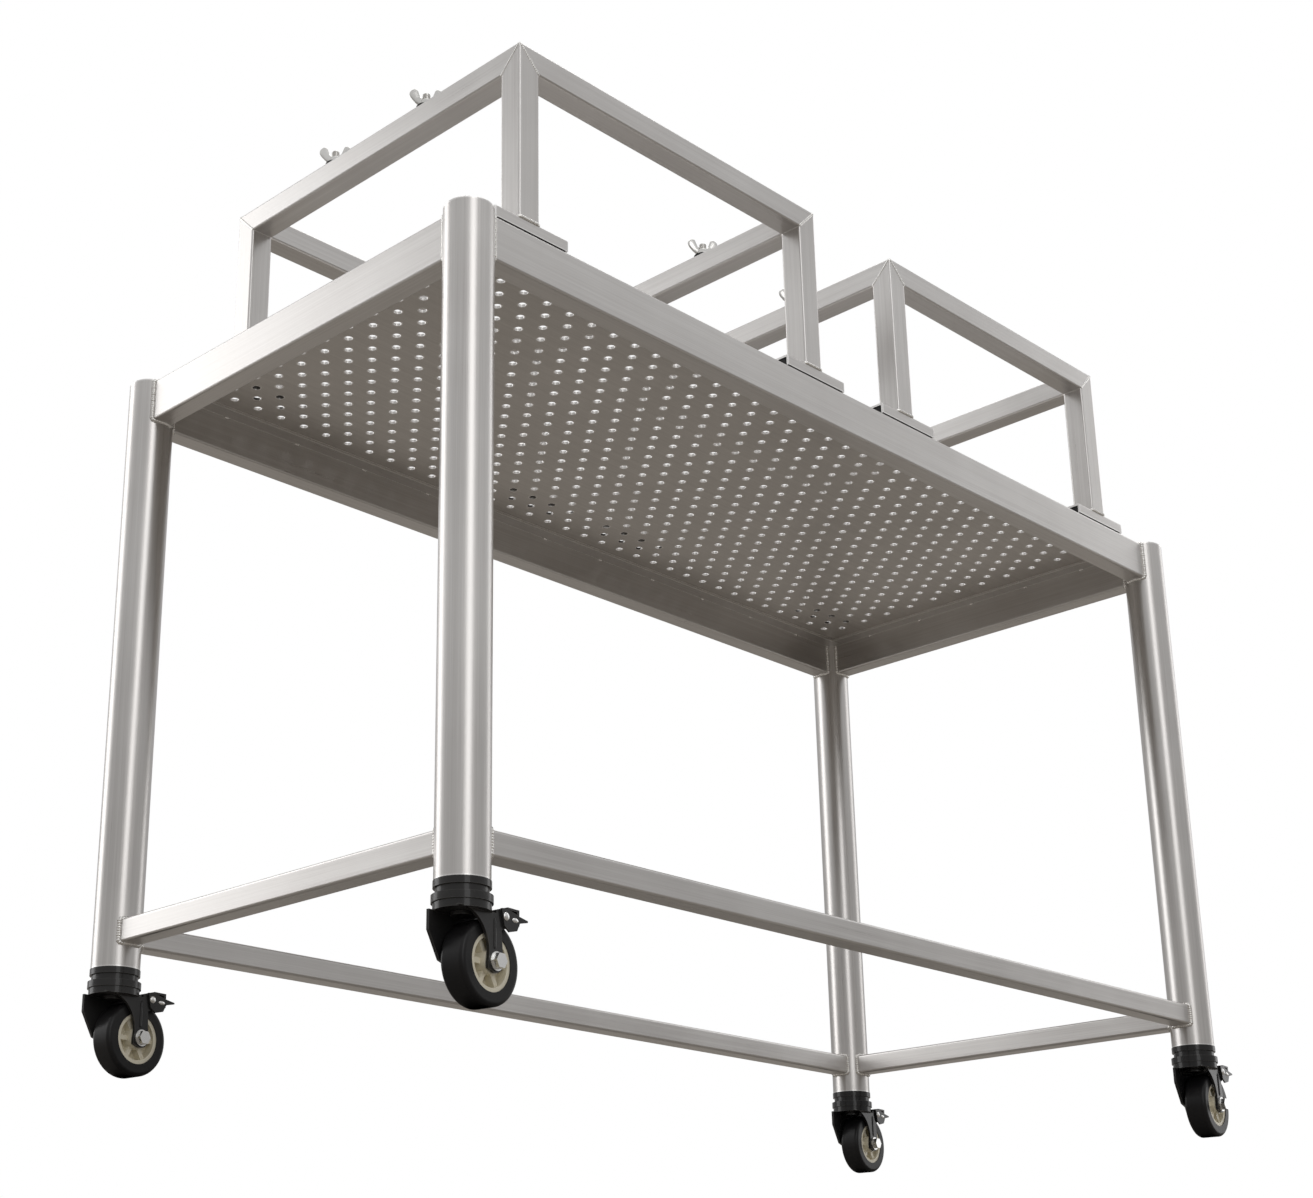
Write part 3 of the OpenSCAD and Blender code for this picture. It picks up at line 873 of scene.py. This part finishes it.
@dataclass
class BoxFrame:
    """A removable box frame of mitred square tube on channel feet."""

    key: str
    studs: int
    tube: float = 28 * MM
    seam_r: float = 1.6 * MM

    def dress(self, finish: Finishes) -> None:
        """Gives the CAD nodes their finishes."""
        k = f"box_{self.key}_"
        dress(finish.ALONG_X, k + "front", k + "back", k + "feet")
        dress(finish.ALONG_Y, k + "left", k + "right")
        dress(finish.ALONG_Z, k + "posts")
        dress(finish.cast, k + "studs")
        dress(finish.rubber, k + "pads", k + "washers")

    def corners(self) -> tuple[np.ndarray, np.ndarray]:
        """The frame's outer corners.

        Returns:
            The lowest and the highest corner of the posts' box.
        """
        lo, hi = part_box(f"box_{self.key}_posts")
        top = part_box(f"box_{self.key}_front")[1][2]
        return np.array(lo), np.array([hi[0], hi[1], top])

    def add(self, name: str, shapes: list[Shape], slot: str, material: bpy.types.Material) -> None:
        """Adds a piece of this frame.

        Args:
            name: the piece's name, after the frame's.
            shapes: its shells.
            slot: not used.
            material: its finish.
        """
        new_piece(f"box_{self.key}_{name}", joined(shapes), f"box_frame_{self.key}", material)

    def mitre_seams(self, finish: Finishes) -> None:
        """Builds the dressed weld lines of the three-way mitres.

        From each outer corner a seam runs inwards at 45 degrees over each of the three outer
        faces, as far as the tube is wide.
        """
        lo, hi = self.corners()
        t = np.linspace(0.04, 1, 60)[:, None] * self.tube
        shapes = []
        for cx, dx in ((lo[0], 1), (hi[0], -1)):
            for cy, dy in ((lo[1], 1), (hi[1], -1)):
                corner = np.array([cx, cy, hi[2]])
                for way, out in (
                    ((dx, dy, 0), (0, 0, 1)),
                    ((dx, 0, -1), (0, -dy, 0)),
                    ((0, dy, -1), (-dx, 0, 0)),
                ):
                    path = corner + t * np.array(way, float)
                    face = np.tile(np.array(out, float), (len(path), 1))
                    sunk = path - face * 0.15 * MM
                    shapes.append(bead(sunk, face, self.seam_r, 2.4 * MM, False, flat=0.42))
        self.add("mitre_seams", shapes, "box_steel", finish.weld)

    def foot_welds(self, finish: Finishes) -> None:
        """Builds the beads between the posts and the feet."""
        lo, hi = self.corners()
        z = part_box(f"box_{self.key}_feet")[1][2]
        rim = round_rectangle(self.tube - 0.4 * MM, self.tube - 0.4 * MM, 2.5 * MM, 0.7 * MM)
        half = self.tube / 2
        shapes = []
        for x in (lo[0] + half, hi[0] - half):
            for y in (lo[1] + half, hi[1] - half):
                height = np.full(len(rim), z + 0.7 * MM)
                path = np.column_stack([x + rim[:, 0], y + rim[:, 1], height])
                out = np.column_stack([rim, np.full(len(rim), half)])
                shapes.append(bead(path, out, 1.8 * MM, 2.8 * MM, True))
        self.add("foot_welds", shapes, "box_steel", finish.weld)

    def threads(self, finish: Finishes) -> None:
        """Builds the thread on each stud, where it stands above its wing nut.

        The surface is a grid of angle and height; its radius is the root plus the depth
        times a triangle wave of height over pitch less angle over a turn.
        """
        pitch, root, depth = 1.25 * MM, 4.02 * MM, 0.5 * MM
        shapes = []
        for k in range(1, self.studs + 1):
            lo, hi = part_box(f"wing_nut_{self.key}{k}")
            stud_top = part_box(f"box_{self.key}_studs")[1][2]
            x, y = (lo[0] + hi[0]) / 2, (lo[1] + hi[1]) / 2
            base = lo[2] + 8.2 * MM
            z = np.linspace(base, stud_top - 0.2 * MM, 56)
            a = np.linspace(0, 2 * np.pi, 32, endpoint=False)
            turn = (z[:, None] / pitch - a / (2 * np.pi)) % 1
            r = root + depth * (1 - np.abs(2 * turn - 1)) * 0.8
            r = r * np.where(z[:, None] > stud_top - 0.6 * MM, 0.97, 1)
            level = np.broadcast_to(z[:, None], r.shape)
            shapes.append(closed_grid(np.stack([x + r * np.cos(a), y + r * np.sin(a), level], -1)))
        self.add("threads", shapes, "fastener_steel", finish.cast)

    def build(self, finish: Finishes) -> None:
        """Dresses the frame and builds its seams, beads, threads and wing nuts."""
        self.dress(finish)
        self.mitre_seams(finish)
        self.foot_welds(finish)
        self.threads(finish)
        for k in range(1, self.studs + 1):
            WingNut(f"{self.key}{k}", WING_TURNS[k - 1]).build(finish)


@dataclass
class WingNut:
    """A cast wing nut: a turned boss and two swept wings."""

    key: str
    turn: float
    bore: float = 4.06 * MM
    boss: float = 7.5 * MM
    height: float = 8 * MM
    tip: float = 18.5 * MM
    rise: float = 23 * MM

    def boss_shape(self) -> Shape:
        """The boss: a ring with rounded shoulders, turned round the stud.

        Returns:
            Vertices and faces.
        """
        b, r, h, e = self.bore, self.boss, self.height, 1.2 * MM
        a = np.linspace(0, np.pi / 2, 6)
        low = np.column_stack([r - 0.4 * MM + 0.4 * MM * np.sin(a), 0.4 * MM - 0.4 * MM * np.cos(a)])
        high = np.column_stack([r - 1.2 * MM - e + e * np.cos(a), h - e + e * np.sin(a)])
        waist = [[r - 0.3 * MM, h * 0.55]]
        mouth = [[b + 0.5 * MM, h], [b, h - 0.5 * MM]]
        profile = np.concatenate([[[b, 0]], low, waist, high, mouth])
        return lathe(profile, 48)

    def wing_shape(self, side: int) -> Shape:
        """A wing: an oval section carried along a line that sweeps out and up.

        The middle line is a smooth curve from the boss to the tip; the oval's long half
        axis lies in the wing's plane and its short one across it. The wing is then scaled to
        the nut's span and height.

        Args:
            side: 1 or -1, for the two wings.

        Returns:
            Vertices and faces.
        """
        s = np.linspace(0, 1, 40)
        x = np.interp(s, [0, 0.35, 0.7, 1], np.array([5.4, 9.0, 12.4, 14.6]) * MM)
        z = np.interp(s, [0, 0.35, 0.7, 1], np.array([4.0, 6.6, 11.0, 14.9]) * MM)
        kernel = np.hanning(13) / np.hanning(13).sum()
        x = np.convolve(np.pad(x, 6, "edge"), kernel, "valid")
        z = np.convolve(np.pad(z, 6, "edge"), kernel, "valid")
        along = unit(np.stack([np.gradient(x), 0 * s, np.gradient(z)], 1))
        across = np.stack([-along[:, 2], 0 * s, along[:, 0]], 1)
        close = np.sqrt(np.clip(1 - np.clip((s - 0.72) / 0.28, 0, 1) ** 2, 0.0004, 1))
        wide = np.interp(s, [0, 0.3, 0.65, 1], np.array([3.4, 3.6, 4.6, 5.2]) * MM) * close
        thick = np.interp(s, [0, 0.4, 1], np.array([2.2, 1.5, 1.35]) * MM) * np.sqrt(close)
        a = np.linspace(0, 2 * np.pi, 20, endpoint=False)
        flat = np.sign(np.sin(a)) * np.abs(np.sin(a)) ** 0.8
        middle = np.stack([x, 0 * s, z], 1)
        points = (
            middle[:, None]
            + (wide[:, None] * np.cos(a))[..., None] * across[:, None]
            + (thick[:, None] * flat)[..., None] * np.array([0.0, 1.0, 0.0])
        )
        points[..., 0] *= side * self.tip / points[..., 0].max()
        points[..., 2] *= self.rise / points[..., 2].max()
        return closed_grid(points)

    def build(self, finish: Finishes) -> None:
        """Builds the nut in the CAD nut's place."""
        node = f"wing_nut_{self.key}"
        lo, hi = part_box(node)
        verts, faces = joined([self.boss_shape(), self.wing_shape(1), self.wing_shape(-1)])
        a = math.radians(self.turn)
        spin = np.array([[math.cos(a), -math.sin(a), 0], [math.sin(a), math.cos(a), 0], [0, 0, 1]])
        place = np.array([(lo[0] + hi[0]) / 2, (lo[1] + hi[1]) / 2, lo[2]])
        shape = (verts @ spin.T + place, faces)
        piece = new_piece(f"{node}_cast", shape, f"{node}_body", finish.cast)
        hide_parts(node)


@dataclass
class Caster:
    """A braked swivel caster."""

    corner: str
    plate: float = 20.9 * MM
    fork_face: float = 18.5 * MM
    rivet_r: float = 3.9 * MM
    rib_r: float = 1.5 * MM
    rib_back: float = 12.5 * MM

    def axes(self) -> tuple[np.ndarray, np.ndarray, np.ndarray]:
        """The caster's own directions and its brake's pivot, from the brake's joint.

        Returns:
            The directions ahead and across, and the pivot's place.
        """
        joints = frame["record"]["behaviour"]["joints"]
        joint = next(j for j in joints if j["name"] == "brake_" + self.corner)
        across = np.array(joint["axis"], float)
        return np.array([across[1], -across[0], 0.0]), across, np.array(joint["pos_m"], float)

    def dress(self, finish: Finishes) -> None:
        """Gives the CAD nodes their finishes."""
        dress(finish.black, "fork_" + self.corner, "brake_" + self.corner)
        dress(finish.zinc, "axle_" + self.corner)
        dress(finish.nylon, "hub_" + self.corner)
        dress(finish.tyre, "tyre_" + self.corner)

    def domes(self, x: float, z: float, long: float, tall: float, high: float) -> list[Shape]:
        """A low dome on each side plate of the brake, oval where long and tall differ.

        Ring v, point a lies at long * cos v * cos a ahead and tall * cos v * sin a up from
        the dome's middle, and high * sin v out from the plate.

        Args:
            x: the middle's distance ahead of the pivot.
            z: the middle's height over the pivot.
            long: half length ahead.
            tall: half height.
            high: how far the dome stands out.

        Returns:
            Vertices and faces of both domes.
        """
        ahead, across, pivot = self.axes()
        v = np.concatenate([[-0.25], np.linspace(0, 1.5, 7)])[:, None]
        a = np.linspace(0, 2 * np.pi, 24, endpoint=False)
        on = pivot + (x + long * np.cos(v) * np.cos(a))[..., None] * ahead
        on[..., 2] += z + tall * np.cos(v) * np.sin(a)
        out = (self.plate + high * np.sin(v) + 0 * a)[..., None] * across
        return [closed_grid(on + side * out) for side in (-1, 1)]

    def rivets(self, finish: Finishes) -> None:
        """Builds the bright rivet heads on the brake's pivot and on its pedal."""
        shapes = self.domes(0, 0, self.rivet_r, self.rivet_r, 1.7 * MM)
        shapes += self.domes(12.4 * MM, -1.5 * MM, 4.2 * MM, 2.3 * MM, 1.2 * MM)
        name = "brake_rivets_" + self.corner
        new_piece(name, joined(shapes), "brake_lever_" + self.corner, finish.zinc)

    def ribs(self, finish: Finishes) -> None:
        """Builds the pressed rib down each fork leg: a plain half-round line."""
        ahead, across, pivot = self.axes()
        t = np.linspace(-31, -3, 40)[:, None] * MM
        line = pivot - self.rib_back * ahead + t * np.array([0.0, 0.0, 1.0])
        shapes = []
        for side in (-1, 1):
            out = np.tile(side * across, (len(line), 1))
            shapes.append(bead(line + self.fork_face * out, out, self.rib_r, 1.0, False, flat=0.7))
        name = "fork_ribs_" + self.corner
        new_piece(name, joined(shapes), "caster_" + self.corner, finish.black)

    def build(self, finish: Finishes) -> None:
        """Dresses the caster and builds its rivets and ribs."""
        self.dress(finish)
        self.rivets(finish)
        self.ribs(finish)


@dataclass
class Studio:
    """The camera, the lights, the floor and the surroundings."""

    place: tuple[float, float, float] = (-1.84748, -1.6188, -0.34503)
    yaw: float = 0.76869
    pitch: float = 0.34189
    lens: float = 59.183
    shift: tuple[float, float] = (0.1001, 0.0510)

    def camera(self) -> None:
        """Makes the camera, low and to the front left, looking up at the deck."""
        data = bpy.data.cameras.new("camera")
        data.sensor_width, data.lens = 36, self.lens
        data.shift_x, data.shift_y = self.shift
        data.clip_start, data.clip_end = 0.05, 60
        cam = bpy.data.objects.new("camera", data)
        cam.location = self.place
        cam.rotation_euler = (math.pi / 2 + self.pitch, 0, -self.yaw)
        bpy.context.scene.collection.objects.link(cam)
        bpy.context.scene.camera = cam

    def light(
        self,
        name: str,
        azimuth: float,
        height: float,
        size: tuple[float, float],
        power: float,
        away: float = 3.6,
    ) -> None:
        """Makes a large soft light that faces the middle of the object.

        Args:
            name: the light's name.
            azimuth: direction from +X towards +Y, in degrees.
            height: height of its middle.
            size: width and height.
            power: power in watts.
            away: distance from the object.
        """
        data = bpy.data.lights.new(name, "AREA")
        data.shape, data.size, data.size_y, data.energy = "RECTANGLE", *size, power
        lamp = bpy.data.objects.new(name, data)
        a = math.radians(azimuth)
        lamp.location = (away * math.cos(a), away * math.sin(a), height)
        back = lamp.location - Vector((0, 0, 0.6))
        lamp.rotation_euler = back.to_track_quat("Z", "Y").to_euler()
        lamp.visible_camera = False
        bpy.context.scene.collection.objects.link(lamp)

    def surroundings(self) -> None:
        """Makes a white backdrop to the eye, and a soft grey room to the metal."""
        world = bpy.data.worlds.new("studio")
        bpy.context.scene.world = world
        world.use_nodes = True
        nodes, links = world.node_tree.nodes, world.node_tree.links
        room = nodes["Background"]
        eye = nodes.new("ShaderNodeBackground")
        eye.inputs["Color"].default_value = (1, 1, 1, 1)
        eye.inputs["Strength"].default_value = 1.0
        place = nodes.new("ShaderNodeTexCoord")
        split = nodes.new("ShaderNodeSeparateXYZ")
        links.new(place.outputs["Generated"], split.inputs[0])
        ramp = nodes.new("ShaderNodeValToRGB")
        links.new(math_node(nodes, links, "MULTIPLY_ADD", split.outputs["Z"], 0.5), ramp.inputs["Fac"])
        ramp.color_ramp.elements[0].position = 0.35
        ramp.color_ramp.elements[0].color = (0.10, 0.09, 0.08, 1)
        ramp.color_ramp.elements[1].position = 0.72
        ramp.color_ramp.elements[1].color = (0.80, 0.80, 0.80, 1)
        links.new(ramp.outputs["Color"], room.inputs["Color"])
        room.inputs["Strength"].default_value = 0.84
        path = nodes.new("ShaderNodeLightPath")
        mix = nodes.new("ShaderNodeMixShader")
        links.new(path.outputs["Is Camera Ray"], mix.inputs["Fac"])
        links.new(room.outputs[0], mix.inputs[1])
        links.new(eye.outputs[0], mix.inputs[2])
        links.new(mix.outputs[0], nodes["World Output"].inputs["Surface"])

    def floor(self) -> None:
        """Makes a pale floor that is clear from below, and darker to the metal than to the eye: the dim
        colour, which only bounce and reflection rays see, is painted shade for the metal's undersides.
        """
        mesh = bpy.data.meshes.new("floor")
        mesh.from_pydata([(-7, -7, 0), (7, -7, 0), (7, 7, 0), (-7, 7, 0)], [], [(0, 1, 2, 3)])
        floor = bpy.data.objects.new("floor", mesh)
        bpy.context.scene.collection.objects.link(floor)
        material = bpy.data.materials.new("pale_floor")
        material.use_nodes = True
        nodes, links = material.node_tree.nodes, material.node_tree.links
        nodes.remove(nodes["Principled BSDF"])
        pale, dim, clear = (nodes.new("ShaderNodeBsdf" + k) for k in ("Diffuse", "Diffuse", "Transparent"))
        pale.inputs["Color"].default_value = (0.82, 0.82, 0.81, 1)
        # painted shade: the dim colour that the metal sees in the floor, to keep its undersides dark
        dim.inputs["Color"].default_value = (0.345, 0.32, 0.29, 1)
        path, side = nodes.new("ShaderNodeLightPath"), nodes.new("ShaderNodeNewGeometry")
        seen, both = nodes.new("ShaderNodeMixShader"), nodes.new("ShaderNodeMixShader")
        links.new(path.outputs["Is Camera Ray"], seen.inputs["Fac"])
        links.new(dim.outputs[0], seen.inputs[1])
        links.new(pale.outputs[0], seen.inputs[2])
        links.new(side.outputs["Backfacing"], both.inputs["Fac"])
        links.new(seen.outputs[0], both.inputs[1])
        links.new(clear.outputs[0], both.inputs[2])
        links.new(both.outputs[0], nodes["Material Output"].inputs["Surface"])
        mesh.materials.append(material)

    def build(self) -> None:
        """Builds the studio."""
        self.camera()
        self.surroundings()
        self.floor()
        self.light("left_back", 122, 1.6, (1.7, 3.0), 31)
        self.light("front", 240, 1.7, (1.2, 3.0), 18)
        self.light("right", 346, 1.5, (1.4, 3.0), 14)
        self.light("top", 20, 4.0, (2.6, 2.6), 40, away=0.4)
        bpy.context.scene.view_settings.view_transform = "Standard"


def main() -> None:
    """Builds the studio and the object."""
    logging.basicConfig(level=logging.INFO, format="%(name)s: %(message)s")
    Studio().build()
    finish = Finishes()
    Platform().build(finish)
    BoxFrame("a", 4).build(finish)
    BoxFrame("b", 2).build(finish)
    dress(finish.black, "caster_stems")
    for corner in CORNERS:
        Caster(corner).build(finish)
    log.info("sizes written")


if __name__ == "__main__":
    main()
